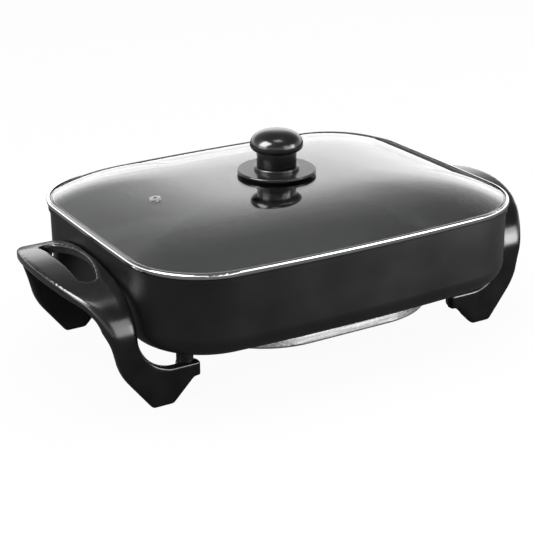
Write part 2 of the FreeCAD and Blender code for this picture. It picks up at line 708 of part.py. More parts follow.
def element_corners():
    """Corners of the element's loop, from one lead round the plate to the other."""
    reach = "Sizes.element_half_length"
    width = "Sizes.element_half_width"
    lead = "Sizes.terminal_offset"
    return [
        ("Derived.lead_end", "-" + lead, None),
        (reach, "-" + lead, "Sizes.lead_bend"),
        (reach, "-" + width, "Sizes.element_bend"),
        ("-" + reach, "-" + width, "Sizes.element_bend"),
        ("-" + reach, width, "Sizes.element_bend"),
        (reach, width, "Sizes.element_bend"),
        (reach, lead, "Sizes.lead_bend"),
        ("Derived.lead_end", lead, None),
    ]


def draw_path(sketch, corners):
    """Open path: the closed outline's helper without its last side."""
    draw_outline(sketch, corners)
    closing = [i for i, piece in enumerate(sketch.Geometry) if not sketch.getConstruction(i)]
    sketch.toggleConstruction(closing[-1])


def make_sole():
    """Bare cast plate under the pan, with a terminal block and a channel for the element."""
    body = new_body("heater_plate")
    outside = new_sketch(body, "sole_outside", "XY_Plane", "Derived.sole_bottom")
    draw_bowed(outside, "sole")
    plate = pad(body, outside, "Sizes.sole_thickness")
    rim = edges_at(plate.Shape, value("Derived.sole_bottom"))
    round_edges(body, plate, rim, "Sizes.sole_edge_radius", "sole_edge")
    block = new_sketch(body, "terminal_block", "XY_Plane", "Derived.block_bottom")
    draw_outline(block, [
        ("Derived.block_start", "-Sizes.block_half_width", None),
        ("Sizes.block_reach", "-Sizes.block_half_width", None),
        ("Sizes.block_reach", "Sizes.block_half_width", None),
        ("Derived.block_start", "Sizes.block_half_width", None),
    ])
    pad(body, block, "Sizes.block_thickness")
    path = new_sketch(body, "channel_path", "XY_Plane", "Derived.element_z")
    draw_path(path, element_corners())
    section = new_sketch(body, "channel_section", "YZ_Plane", "Derived.lead_end")
    draw_outline(section, [
        ("Derived.channel_left", "Derived.channel_floor", None),
        ("Derived.channel_right", "Derived.channel_floor", None),
        ("Derived.channel_right", "Derived.channel_above", None),
        ("Derived.channel_left", "Derived.channel_above", None),
    ])
    doc.recompute()
    before = body.Shape.Volume
    channel = body.newObject("PartDesign::SubtractivePipe", "element_channel")
    channel.Profile = section
    channel.Spine = path
    doc.recompute()
    if body.Shape.Volume > before - LEAST_CUT:
        raise ValueError("no channel cut")
    seats = new_sketch(body, "insulator_seats", "YZ_Plane", "Sizes.block_reach")
    for sign in (-1, 1):
        draw_circle(seats, signed(sign, "Sizes.terminal_offset"), "Derived.terminal_z", "Derived.insulator_hole")
    pocket(body, seats, "Sizes.insulator_seat")
    return body


def make_element():
    """Sheathed tube bent to the channel's loop."""
    body = new_body("heating_element")
    path = new_sketch(body, "element_path", "XY_Plane", "Derived.element_z")
    draw_path(path, element_corners())
    section = new_sketch(body, "element_section", "YZ_Plane", "Derived.lead_end")
    draw_circle(section, "-Sizes.terminal_offset", "Derived.element_z", "Sizes.element_radius")
    doc.recompute()
    tube = body.newObject("PartDesign::AdditivePipe", "element_tube")
    tube.Profile = section
    tube.Spine = path
    doc.recompute()
    return body


def make_terminals():
    """Two contact pins with insulating bushes, and the sensor sleeve between them."""
    for word, sign in (("front", -1), ("back", 1)):
        turned("terminal_pin_" + word, [
            ("0", "0", None),
            ("Sizes.pin_root_radius", "0", None),
            ("Sizes.pin_root_radius", "Derived.pin_shoulder", None),
            ("Sizes.pin_radius", "Derived.pin_shoulder", None),
            ("Sizes.pin_radius", "Sizes.pin_length", "Derived.pin_tip"),
            ("0", "Sizes.pin_length", None),
        ], "Derived.pin_root", signed(sign, "Sizes.terminal_offset"), "Derived.terminal_z", True)
        turned("pin_insulator_" + word, [
            ("Derived.insulator_bore", "0", None),
            ("Sizes.insulator_radius", "0", None),
            ("Sizes.insulator_radius", "Sizes.insulator_length", None),
            ("Derived.insulator_bore", "Sizes.insulator_length", None),
        ], "Derived.pin_root", signed(sign, "Sizes.terminal_offset"), "Derived.terminal_z", True)
    turned("probe_sleeve", [
        ("0", "0", None),
        ("Sizes.sleeve_radius", "0", None),
        ("Sizes.sleeve_radius", "Sizes.sleeve_length", None),
        ("Sizes.sleeve_bore", "Sizes.sleeve_length", None),
        ("Sizes.sleeve_bore", "Sizes.sleeve_floor", None),
        ("0", "Sizes.sleeve_floor", None),
    ], "Sizes.block_reach", "0", "Derived.terminal_z", True)


def make_guard():
    """Bent sheet hood round the socket, hung from two small bosses under the pan."""
    body = new_body("terminal_guard")
    section = new_sketch(body, "guard_section", "YZ_Plane", "Derived.guard_start")
    outer = "Sizes.guard_half_width"
    inner = "Derived.guard_inner_half"
    draw_outline(section, [
        ("-Derived.guard_outer_half", "Derived.guard_flange_bottom", None),
        ("-" + outer, "Derived.guard_flange_bottom", None),
        ("-" + outer, "Sizes.guard_bottom", "Sizes.guard_bend"),
        (outer, "Sizes.guard_bottom", "Sizes.guard_bend"),
        (outer, "Derived.guard_flange_bottom", None),
        ("Derived.guard_outer_half", "Derived.guard_flange_bottom", None),
        ("Derived.guard_outer_half", "Derived.guard_seat", None),
        (inner, "Derived.guard_seat", None),
        (inner, "Derived.guard_floor", "Derived.guard_inner_bend"),
        ("-" + inner, "Derived.guard_floor", "Derived.guard_inner_bend"),
        ("-" + inner, "Derived.guard_seat", None),
        ("-Derived.guard_outer_half", "Derived.guard_seat", None),
    ])
    pad(body, section, "Sizes.guard_reach - Derived.guard_start")
    trims = new_sketch(body, "guard_flange_trim", "XY_Plane", "Derived.guard_seat")
    for sign in (1, -1):
        near = signed(sign, outer)
        far = signed(sign, "Derived.guard_trim_side")
        for start, end in (
            ("Derived.guard_trim_start", "Derived.guard_flange_start"),
            ("Derived.guard_flange_end", "Derived.guard_trim_end"),
        ):
            draw_outline(trims, [(start, near, None), (end, near, None), (end, far, None), (start, far, None)])
    pocket(body, trims)
    for i, sign in enumerate((1, -1), start=1):
        hole = new_sketch(body, "guard_clear_%d" % i, "XY_Plane", "Derived.guard_seat")
        draw_circle(hole, "Sizes.guard_screw_x", signed(sign, "Derived.guard_screw_y"), "Derived.guard_hole")
        pocket(body, hole, "Sizes.guard_sheet")
    return body


def make_screw(label, x, y, seat, kind, length):
    """Upright screw: its head under the seat plane and its shank above."""
    head = "Sizes.%sscrew_head_radius" % kind
    shank = "Sizes.%sscrew_radius" % kind
    low = "Derived.%sscrew_low" % kind
    turned(label, [
        ("0", low, None),
        (head, low, "Derived.%sscrew_edge" % kind),
        (head, "0", None),
        (shank, "0", None),
        (shank, length, "Derived.%sscrew_tip" % kind),
        ("0", length, None),
    ], x, y, seat)


# Handles

def make_handle():
    """One-piece arch handle: two legs, a grip with a finger opening and two mounting lugs."""
    body = new_body("right_handle")
    outer = new_sketch(body, "arch_outer", "YZ_Plane", "Sizes.lug_end")
    draw_hoop(outer, "Sizes.")
    pad(body, outer, "Derived.arch_length")
    under = new_sketch(body, "arch_under", "YZ_Plane", "Sizes.lug_end")
    draw_hoop(under, "Derived.under_")
    pocket(body, under, "Derived.arch_length", True)
    cut_side_sweeps(body)
    cut_grip_plan(body)
    for i, sign in enumerate((1, -1), start=1):
        lug = new_sketch(body, "lug_%d" % i, "XY_Plane", "Sizes.lug_bottom")
        draw_circle(lug, "Sizes.lug_x", signed(sign, "Sizes.lug_y"), "Sizes.lug_radius")
        pad(body, lug, "Sizes.lug_top - Sizes.lug_bottom")
    for i, sign in enumerate((1, -1), start=1):
        seat = new_sketch(body, "counterbore_%d" % i, "XY_Plane", "Sizes.counterbore_top")
        draw_circle(seat, "Sizes.lug_x", signed(sign, "Sizes.lug_y"), "Sizes.counterbore_radius")
        pocket(body, seat, "Sizes.counterbore_top")
        hole = new_sketch(body, "lug_hole_%d" % i, "XY_Plane", "Sizes.lug_top")
        draw_circle(hole, "Sizes.lug_x", signed(sign, "Sizes.lug_y"), "Derived.lug_hole")
        pocket(body, hole, "Sizes.lug_top - Sizes.counterbore_top + Sizes.counterbore_cut")
    return body


def cut_side_sweeps(body):
    """Trim the arch to its side view: the outer S curve and the inner sweep under the pan."""
    outside = new_sketch(body, "outer_sweep", "XZ_Plane")
    draw_outline(outside, [
        ("Derived.shin_below_x", "Derived.below_floor", None),
        ("Derived.grip_clear", "Derived.below_floor", None),
        ("Derived.grip_clear", "Derived.knee_out_z", None),
        ("Sizes.knee_x", "Sizes.knee_z", "Sizes.knee_radius"),
        ("Sizes.shin_x", "Sizes.shin_z", "Sizes.shin_radius"),
    ])
    pocket(body, outside)
    inside = new_sketch(body, "inner_sweep", "XZ_Plane")
    clear = "Derived.inner_clear"
    draw_outline(inside, [
        (clear, "Sizes.lug_top", None),
        ("Derived.handle_inner", "Sizes.lug_top", "Sizes.inner_sweep_radius"),
        ("Derived.handle_inner", "Derived.above_arch", None),
        (clear, "Derived.above_arch", None),
    ])
    pocket(body, inside)
    below = new_sketch(body, "toe_slope", "XZ_Plane")
    draw_outline(below, [
        (clear, "Derived.below_floor", None),
        ("Derived.toe_slope_below", "Derived.below_floor", None),
        ("Derived.toe_slope_x", "Sizes.lug_bottom", None),
        (clear, "Sizes.lug_bottom", None),
    ])
    pocket(body, below)


def cut_grip_plan(body):
    """Trim the grip to its bulged plan and cut the finger opening."""
    plan = new_sketch(body, "grip_plan", "XY_Plane", "Derived.above_arch")
    draw_crescent(plan)
    pocket(body, plan)
    opening = new_sketch(body, "finger_opening", "XY_Plane", "Derived.above_arch")
    draw_finger_opening(opening)
    pocket(body, opening)


def draw_crescent(sketch):
    """Area outside the grip's plan arc, closed by three straight sides."""
    radius = value("Sizes.grip_plan_radius")
    centre_x = value("Derived.grip_centre")
    side = value("Derived.arch_clear")
    far = value("Derived.grip_clear")
    angle = math.asin(side / radius)
    low = FreeCAD.Vector(centre_x + radius * math.cos(angle), -side, 0)
    high = FreeCAD.Vector(low.x, side, 0)
    far_low = FreeCAD.Vector(far, -side, 0)
    far_high = FreeCAD.Vector(far, side, 0)
    arc = add_arc(sketch, centre_x, 0, radius, -angle, angle)
    lower = sketch.addGeometry(Part.LineSegment(low, far_low), False)
    outer = sketch.addGeometry(Part.LineSegment(far_low, far_high), False)
    upper = sketch.addGeometry(Part.LineSegment(far_high, high), False)
    sketch.addConstraint(Sketcher.Constraint("Coincident", arc, 1, lower, 1))
    sketch.addConstraint(Sketcher.Constraint("Coincident", lower, 2, outer, 1))
    sketch.addConstraint(Sketcher.Constraint("Coincident", outer, 2, upper, 1))
    sketch.addConstraint(Sketcher.Constraint("Coincident", upper, 2, arc, 2))
    place_point(sketch, arc, 3, "Derived.grip_centre", "0")
    bind(sketch, "Radius", (arc,), "Sizes.grip_plan_radius")
    place_point(sketch, outer, 1, "Derived.grip_clear", "-Derived.arch_clear")
    place_point(sketch, outer, 2, "Derived.grip_clear", "Derived.arch_clear")
    sketch.addConstraint(Sketcher.Constraint("Horizontal", lower))
    sketch.addConstraint(Sketcher.Constraint("Horizontal", upper))


def draw_finger_opening(sketch):
    """D-shaped opening: straight towards the grip, bulged towards the pan, round corners."""
    bulge = value("Sizes.opening_bulge_radius")
    centre_x = value("Derived.opening_bulge_centre")
    corner = value("Sizes.opening_corner")
    half_width = value("Sizes.opening_half_width")
    outer_x = value("Sizes.opening_outer")
    corner_y = half_width - corner
    inner_x = centre_x - math.sqrt((bulge - corner) ** 2 - corner_y ** 2)
    angle = math.asin(corner_y / (bulge - corner))
    outer_corner_x = outer_x - corner
    half_turn = math.pi
    inner = add_arc(sketch, centre_x, 0, bulge, half_turn - angle, half_turn + angle)
    low_left = add_arc(sketch, inner_x, -corner_y, corner, half_turn + angle, 1.5 * half_turn)
    low = sketch.addGeometry(Part.LineSegment(
        FreeCAD.Vector(inner_x, -half_width, 0), FreeCAD.Vector(outer_corner_x, -half_width, 0)), False)
    low_right = add_arc(sketch, outer_corner_x, -corner_y, corner, -half_turn / 2, 0)
    outer = sketch.addGeometry(Part.LineSegment(
        FreeCAD.Vector(outer_x, -corner_y, 0), FreeCAD.Vector(outer_x, corner_y, 0)), False)
    high_right = add_arc(sketch, outer_corner_x, corner_y, corner, 0, half_turn / 2)
    high = sketch.addGeometry(Part.LineSegment(
        FreeCAD.Vector(outer_corner_x, half_width, 0), FreeCAD.Vector(inner_x, half_width, 0)), False)
    high_left = add_arc(sketch, inner_x, corner_y, corner, half_turn / 2, half_turn - angle)
    ring = [inner, low_left, low, low_right, outer, high_right, high, high_left]
    for i in range(8):
        sketch.addConstraint(Sketcher.Constraint("Tangent", ring[i], 2, ring[(i + 1) % 8], 1))
    place_point(sketch, inner, 3, "Derived.opening_bulge_centre", "0")
    bind(sketch, "Radius", (inner,), "Sizes.opening_bulge_radius")
    for arc in (low_left, low_right, high_right, high_left):
        bind(sketch, "Radius", (arc,), "Sizes.opening_corner")
    sketch.addConstraint(Sketcher.Constraint("Horizontal", low))
    sketch.addConstraint(Sketcher.Constraint("Horizontal", high))
    bind(sketch, "DistanceY", (-1, 1, high, 1), "Sizes.opening_half_width")
    bind(sketch, "DistanceY", (-1, 1, low, 1), "-Sizes.opening_half_width")
    bind(sketch, "DistanceX", (-1, 1, outer, 1), "Sizes.opening_outer")


def mirror_handle(handle):
    """The left handle is the right one reflected in the pan's middle plane."""
    mirror = doc.addObject("Part::Mirroring", "left_handle")
    mirror.Label = "left_handle"
    mirror.Source = handle
    mirror.Normal = FreeCAD.Vector(1, 0, 0)
    doc.recompute()
    return mirror


def make_handle_fixings():
    """A screw and a washer under each of the four lugs."""
    number = 0
    for side, sign_x in (("left", -1), ("right", 1)):
        for word, sign_y in (("front", -1), ("back", 1)):
            number += 1
            x = signed(sign_x, "Sizes.lug_x")
            y = signed(sign_y, "Sizes.lug_y")
            name = "%s_%s" % (side, word)
            make_screw("handle_screw_" + name, x, y, "Derived.washer_bottom", "", "Sizes.screw_length")
            turned("handle_washer_" + name, [
                ("Derived.lug_hole", "0", None),
                ("Sizes.screw_head_radius", "0", None),
                ("Sizes.screw_head_radius", "Sizes.washer_thickness", None),
                ("Derived.lug_hole", "Sizes.washer_thickness", None),
            ], x, y, "Derived.washer_bottom")


# Lid

def make_band():
    """Rolled steel band: outer bead, glass seat and the skirt that centres the lid."""
    body = new_body("lid_rim")
    outside = new_sketch(body, "band_outside", "XY_Plane", "Derived.band_bottom")
    draw_bowed(outside, "band")
    ring = pad(body, outside, "Sizes.band_height")
    bead = edges_at(ring.Shape, value("Derived.band_bottom")) + edges_at(ring.Shape, value("Derived.band_top"))
    round_edges(body, ring, bead, "Sizes.band_bead", "band_bead_radius")
    skirt = new_sketch(body, "band_skirt", "XY_Plane", "Derived.skirt_bottom")
    draw_bowed(skirt, "skirt")
    pad(body, skirt, "Derived.skirt_height")
    seat = new_sketch(body, "band_seat", "XY_Plane", "Derived.band_top")
    draw_bowed(seat, "seat")
    pocket(body, seat, "Derived.seat_depth")
    throat = new_sketch(body, "band_throat", "XY_Plane", "Derived.band_top")
    draw_bowed(throat, "throat")
    pocket(body, throat)
    return body


def make_glass():
    """Tempered dome: an upright edge, steep shoulders and a flat crown, all of one thickness."""
    body = new_body("lid_glass")
    edge = new_sketch(body, "glass_edge", "XY_Plane", "Derived.glass_bottom")
    draw_bowed(edge, "glass")
    pad(body, edge, "Sizes.glass_edge_height")
    sections = []
    for name in dome_names:
        section = new_sketch(body, "dome_" + name, "XY_Plane", "Derived.%s_z" % name)
        draw_bowed(section, name)
        sections.append(section)
    dome = body.newObject("PartDesign::AdditiveLoft", "dome_outside")
    dome.Profile = sections[0]
    dome.Sections = sections[1:]
    doc.recompute()
    hollows = []
    for name in dome_names:
        section = new_sketch(body, "hollow_" + name, "XY_Plane", "Derived.%s_inner_z" % name)
        draw_bowed(section, name + "_inner")
        hollows.append(section)
    before = body.Shape.Volume
    inside = body.newObject("PartDesign::SubtractiveLoft", "dome_inside")
    inside.Profile = hollows[0]
    inside.Sections = hollows[1:]
    doc.recompute()
    if body.Shape.Volume > before - LEAST_CUT:
        raise ValueError("the dome was not hollowed")
    holes = new_sketch(body, "glass_holes", "XY_Plane")
    draw_circle(holes, "0", "0", "Sizes.flange_bore")
    draw_circle(holes, "-Sizes.vent_offset", "0", "Derived.vent_hole")
    pocket(body, holes)
    return body


def make_vent():
    """Steel eyelet through the glass, square to the dome where it sits."""
    vent = turned("vent_grommet", [
        ("Sizes.vent_bore", "Derived.vent_lower", None),
        ("Sizes.vent_flange", "Derived.vent_lower", None),
        ("Sizes.vent_flange", "Derived.vent_low", None),
        ("Sizes.vent_barrel", "Derived.vent_low", None),
        ("Sizes.vent_barrel", "Sizes.vent_seat_gap", None),
        ("Sizes.vent_flange", "Sizes.vent_seat_gap", None),
        ("Sizes.vent_flange", "Derived.vent_rise", "Derived.vent_roll"),
        ("Sizes.vent_bore", "Derived.vent_rise", None),
    ], "-Sizes.vent_offset", "0", "Derived.vent_z")
    vent.Placement.Rotation = FreeCAD.Rotation(FreeCAD.Vector(0, 1, 0), 0)
    vent.setExpression("Placement.Rotation.Angle", "-atan(Derived.vent_slope)")
    doc.recompute()
    return vent


def make_knob():
    """Mushroom knob on a collar and a wide heat guard, with its insert, screw and seals."""
    turned("knob_flange", [
        ("Derived.stack_hole", "Derived.crown_outside", None),
        ("Sizes.flange_foot", "Derived.crown_outside", None),
        ("Sizes.flange_radius", "Derived.flange_lip_z", None),
        ("Sizes.flange_radius", "Derived.flange_top", "Sizes.flange_round"),
        ("Derived.stack_hole", "Derived.flange_top", None),
    ])
    turned("knob_collar", [
        ("Derived.stack_hole", "Derived.flange_top", None),
        ("Sizes.collar_radius", "Derived.flange_top", None),
        ("Sizes.collar_radius", "Derived.collar_top", "Derived.collar_round"),
        ("Derived.stack_hole", "Derived.collar_top", None),
    ])
    turned("lid_knob", [
        ("Derived.knob_hole", "Derived.collar_top", None),
        ("Sizes.neck_radius", "Derived.collar_top", None),
        ("Sizes.neck_radius", "Derived.neck_top", "Sizes.neck_fillet"),
        ("Sizes.cap_radius", "Derived.cap_low", "Sizes.cap_underside_round"),
        ("Sizes.cap_radius", "Derived.cap_top", "Sizes.cap_crown_radius"),
        ("0", "Derived.cap_top", None),
        ("0", "Derived.insert_top", None),
        ("Derived.knob_hole", "Derived.insert_top", None),
    ])
    turned("knob_insert", [
        ("Derived.insert_bore", "Derived.collar_top", None),
        ("Sizes.insert_radius", "Derived.collar_top", None),
        ("Sizes.insert_radius", "Derived.insert_top", None),
        ("Derived.insert_bore", "Derived.insert_top", None),
    ])
    turned("knob_gasket", [
        ("Derived.stack_hole", "Derived.gasket_bottom", None),
        ("Sizes.gasket_radius", "Derived.gasket_bottom", None),
        ("Sizes.gasket_radius", "Derived.crown_inside", None),
        ("Derived.stack_hole", "Derived.crown_inside", None),
    ])
    turned("knob_washer", [
        ("Derived.stack_hole", "Derived.knob_washer_bottom", None),
        ("Sizes.knob_washer_radius", "Derived.knob_washer_bottom", None),
        ("Sizes.knob_washer_radius", "Derived.gasket_bottom", None),
        ("Derived.stack_hole", "Derived.gasket_bottom", None),
    ])
    make_screw("knob_screw", "0", "0", "Derived.knob_washer_bottom", "", "Sizes.knob_screw_length")


def sub_parts():
    """Every object that becomes a file: the bodies and the mirrored handle."""
    kinds = ("PartDesign::Body", "Part::Mirroring")
    return [piece for piece in doc.Objects if piece.TypeId in kinds]


def check_objects():
    """Stop if any object failed, or if a sub-part has no valid solid."""
    for piece in doc.Objects:
        if "Invalid" in piece.State or "Error" in piece.State:
            raise ValueError("failed object " + piece.Name)
    for piece in sub_parts():
        shape = piece.Shape
        if shape.isNull() or not shape.isValid() or len(shape.Solids) != 1:
            raise ValueError("bad shape in %s: %d solids" % (piece.Label, len(shape.Solids)))


def export_parts():
    """Write one file per sub-part and print its volume."""
    os.makedirs("parts", exist_ok=True)
    for piece in sub_parts():
        piece.Shape.exportStep("parts/%s.step" % piece.Label)
        print("%-28s %10.2f cm3" % (piece.Label, piece.Shape.Volume / 1000))


fill_sheet()
derive_sizes()
make_pan()
make_sole()
make_element()
make_terminals()
make_guard()
for word, sign in (("front", -1), ("back", 1)):
    make_screw("guard_screw_" + word, "Sizes.guard_screw_x", signed(sign, "Derived.guard_screw_y"),
               "Derived.guard_flange_bottom", "guard_", "Sizes.guard_screw_length")
right_handle = make_handle()
mirror_handle(right_handle)
make_handle_fixings()
make_band()
make_glass()
make_vent()
make_knob()
doc.recompute()
check_objects()
export_parts()
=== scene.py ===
import json
import math

import bmesh
import bpy
from mathutils import Matrix, Vector

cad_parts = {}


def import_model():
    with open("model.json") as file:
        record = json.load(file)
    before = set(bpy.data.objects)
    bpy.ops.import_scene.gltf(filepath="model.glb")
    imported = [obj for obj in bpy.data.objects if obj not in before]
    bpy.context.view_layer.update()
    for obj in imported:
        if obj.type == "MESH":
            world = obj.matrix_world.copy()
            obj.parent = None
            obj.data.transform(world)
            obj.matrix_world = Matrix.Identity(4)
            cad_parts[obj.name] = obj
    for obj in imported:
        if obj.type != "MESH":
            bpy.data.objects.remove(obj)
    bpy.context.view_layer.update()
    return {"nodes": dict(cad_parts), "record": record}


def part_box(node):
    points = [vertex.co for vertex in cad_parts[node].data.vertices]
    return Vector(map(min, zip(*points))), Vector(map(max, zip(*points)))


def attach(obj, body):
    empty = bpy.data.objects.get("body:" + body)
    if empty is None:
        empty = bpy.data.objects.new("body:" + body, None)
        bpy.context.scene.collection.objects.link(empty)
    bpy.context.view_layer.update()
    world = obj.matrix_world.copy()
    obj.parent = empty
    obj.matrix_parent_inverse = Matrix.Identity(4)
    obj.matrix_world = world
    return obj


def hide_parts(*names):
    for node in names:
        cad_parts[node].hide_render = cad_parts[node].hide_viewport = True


# Electric skillet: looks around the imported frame, in metres.

# Camera fitted to the photograph
CAMERA_PLACE = Vector((-0.67867, -1.14095, 0.59276))
CAMERA_AZIMUTH = math.radians(-30.28)
CAMERA_ELEVATION = math.radians(21.72)
CAMERA_ROLL = math.radians(-0.46)
CAMERA_LENS = 94.94
SENSOR_WIDTH = 36.0

# Stage
FLOOR_HALF = 6.0
FLOOR_CELLS = 8
FLOOR_DROP = 0.0004
FLOOR_ALBEDO = 0.82
FLOOR_GLOW_CAMERA = 0.95
FLOOR_GLOSSY_SHARE = 0.85
FLOOR_GLOSSY_LEVEL = 0.06
WORLD_FILL = 0.5

# Light in reflections, by the sine of its elevation: a light tent that is open overhead
TENT_STRENGTH = 2.5
TENT_STOPS = (
    (0.28, 1.0), (0.31, 0.8), (0.34, 0.6), (0.375, 0.4),
    (0.43, 0.28), (0.5, 0.19), (0.6, 0.12), (0.75, 0.07),
)

# Mesh work
CORNER_WELD = 0.00001
LATHE_WELD = 0.000001
SMOOTHING_FACTOR = 0.5

# Handles: the knees are a range of height, past a distance from the middle
HANDLE_VOXEL = 0.0011
HANDLE_SMOOTHING = 26
KNEE_SMOOTHING = 90
KNEE_INNER = 0.062
KNEE_FADE = 0.02
KNEE_MIDDLE = 0.083
KNEE_REACH = 0.034

# Knob: shares of its radius or its height
NECK_SHARE = 0.749
NECK_HEIGHT = 0.445
WIDEST_HEIGHT = 0.585
CAP_POWER = 2.35
CAP_STEPS = 24
NECK_CHAMFER = 0.0008
NECK_FILLET = 0.001
LATHE_STEPS = 128

# Sole plate, in metres
SOLE_HALF_LENGTH = 0.13
SOLE_HALF_WIDTH = 0.136
SOLE_CORNER = 0.085
SOLE_DEPTH = 0.0156
SOLE_EDGE = 0.0032
BLOCK_START = 0.1
BLOCK_HALF_WIDTH = 0.024
BLOCK_CORNER = 0.003
BLOCK_EDGE = 0.0012
BLOCK_EDGE_SEGMENTS = 3
BURIED_CLEARANCE = 0.0002
CORNER_STEPS = 16
BEVEL_DEGREES = 50

# Screws: the cross recess, in shares of the head's radius, and its taper
RECESS_REACH = 0.62
RECESS_HALF_WIDTH = 0.13
RECESS_DEPTH = 0.5
RECESS_TAPER = 0.45


# Node helpers

class Tree:
    """Short names for building one material's node tree."""

    def __init__(self, name):
        self.material = bpy.data.materials.new(name)
        self.material.use_nodes = True
        self.nodes = self.material.node_tree.nodes
        self.links = self.material.node_tree.links
        self.shader = self.nodes["Principled BSDF"]
        self.output = self.nodes["Material Output"]

    def add(self, kind, **settings):
        """A node of that kind with plain attributes set."""
        node = self.nodes.new(kind)
        for key, setting in settings.items():
            setattr(node, key, setting)
        return node

    def link(self, source, output, target, entry):
        """Join one output to one input, both by name or number."""
        self.links.new(source.outputs[output], target.inputs[entry])

    def set(self, **constants):
        """Constants on the shader's own sockets."""
        for key, constant in constants.items():
            self.shader.inputs[key.replace("_", " ")].default_value = constant

    def place(self):
        """The object's own coordinates, which are metres in the frame."""
        return self.add("ShaderNodeTexCoord")

    def stretched(self, scale):
        """Object coordinates stretched by three factors."""
        mapping = self.add("ShaderNodeMapping")
        mapping.inputs["Scale"].default_value = scale
        self.link(self.place(), "Object", mapping, "Vector")
        return mapping

    def noise(self, scale, detail=2.0, stretch=None):
        """Noise of that many cycles per metre."""
        node = self.add("ShaderNodeTexNoise")
        node.inputs["Scale"].default_value = scale
        node.inputs["Detail"].default_value = detail
        if stretch is None:
            self.link(self.place(), "Object", node, "Vector")
        else:
            self.link(self.stretched(stretch), "Vector", node, "Vector")
        return node

    def spread(self, source, output, low, high):
        """Map a texture from its usual 0.3 to 0.7 onto a range."""
        node = self.add("ShaderNodeMapRange")
        node.inputs["From Min"].default_value = 0.3
        node.inputs["From Max"].default_value = 0.7
        node.inputs["To Min"].default_value = low
        node.inputs["To Max"].default_value = high
        self.link(source, output, node, "Value")
        return node

    def rough(self, texture, low, high):
        """Roughness that varies over the surface."""
        self.link(self.spread(texture, "Fac", low, high), "Result", self.shader, "Roughness")

    def tint(self, texture, low, high):
        """Base colour that varies between two colours."""
        ramp = self.add("ShaderNodeValToRGB")
        ramp.color_ramp.elements[0].position = 0.3
        ramp.color_ramp.elements[0].color = (*low, 1)
        ramp.color_ramp.elements[1].position = 0.7
        ramp.color_ramp.elements[1].color = (*high, 1)
        self.link(texture, "Fac", ramp, "Fac")
        self.link(ramp, "Color", self.shader, "Base Color")

    def bump(self, texture, depth, strength=1.0):
        """Relief of that depth in metres."""
        node = self.add("ShaderNodeBump")
        node.inputs["Strength"].default_value = strength
        node.inputs["Distance"].default_value = depth
        self.link(texture, "Fac", node, "Height")
        previous = self.shader.inputs["Normal"].links
        if previous:
            self.links.new(previous[0].from_socket, node.inputs["Normal"])
        self.link(node, "Normal", self.shader, "Normal")


# Materials

def nonstick_material():
    """Satin black coating with a fine sprayed grain."""
    tree = Tree("nonstick_black")
    tree.set(Metallic=0.0, IOR=1.5, Specular_IOR_Level=0.27)
    grain = tree.noise(2600.0, 3.0)
    cloud = tree.noise(18.0, 2.0)
    tree.tint(cloud, (0.0035, 0.0035, 0.0037), (0.006, 0.006, 0.0063))
    tree.rough(cloud, 0.34, 0.42)
    tree.bump(grain, 0.00004, 0.6)
    return tree.material


def phenolic_material():
    """Glossy moulded phenolic with a slight ripple and faint handling marks."""
    tree = Tree("phenolic_black")
    tree.set(Metallic=0.0, IOR=1.55, Specular_IOR_Level=0.2)
    ripple = tree.noise(120.0, 1.0)
    marks = tree.noise(45.0, 5.0)
    tree.tint(marks, (0.002, 0.002, 0.0021), (0.0035, 0.0035, 0.0037))
    tree.rough(marks, 0.15, 0.25)
    tree.bump(ripple, 0.00006, 0.35)
    return tree.material


def aluminium_material():
    """Bare cast aluminium, brushed along its length underneath."""
    tree = Tree("bare_aluminium")
    tree.set(Metallic=1.0)
    brush = tree.noise(900.0, 2.0, (0.02, 1.0, 1.0))
    cast = tree.noise(300.0, 4.0)
    tree.tint(cast, (0.42, 0.42, 0.43), (0.56, 0.56, 0.57))
    tree.rough(brush, 0.28, 0.44)
    tree.bump(brush, 0.00003, 0.5)
    return tree.material


def steel_material(name, colour, rough, brush_scale, stretch):
    """Steel with a fine lay in one direction."""
    tree = Tree(name)
    tree.set(Metallic=1.0)
    brush = tree.noise(brush_scale, 3.0, stretch)
    dark = tuple(0.9 * part for part in colour)
    tree.tint(brush, dark, colour)
    tree.rough(brush, rough[0], rough[1])
    tree.bump(brush, 0.00001, 0.4)
    return tree.material


def sheath_material():
    """Oxidised sheath, browned in patches by heat."""
    tree = Tree("element_sheath")
    tree.set(Metallic=1.0)
    patches = tree.noise(60.0, 5.0)
    tree.tint(patches, (0.1, 0.085, 0.07), (0.3, 0.28, 0.26))
    tree.rough(patches, 0.4, 0.65)
    tree.bump(patches, 0.00005, 0.5)
    return tree.material


def ceramic_material():
    """Unglazed ceramic with fine grains."""
    tree = Tree("terminal_ceramic")
    grains = tree.noise(1500.0, 4.0)
    tree.tint(grains, (0.72, 0.7, 0.64), (0.85, 0.83, 0.78))
    tree.rough(grains, 0.6, 0.75)
    tree.bump(grains, 0.00004, 0.6)
    return tree.material


def rubber_material():
    """Translucent-looking silicone with a dull skin."""
    tree = Tree("seal_rubber")
    skin = tree.noise(700.0, 3.0)
    tree.tint(skin, (0.62, 0.62, 0.6), (0.72, 0.72, 0.7))
    tree.rough(skin, 0.45, 0.6)
    tree.bump(skin, 0.00003, 0.5)
    return tree.material


def brass_material():
    """Turned brass with rings left by the tool."""
    tree = Tree("insert_brass")
    tree.set(Metallic=1.0)
    rings = tree.noise(2500.0, 2.0, (0.05, 0.05, 1.0))
    tree.tint(rings, (0.62, 0.47, 0.2), (0.78, 0.62, 0.3))
    tree.rough(rings, 0.2, 0.32)
    tree.bump(rings, 0.00002, 0.5)
    return tree.material


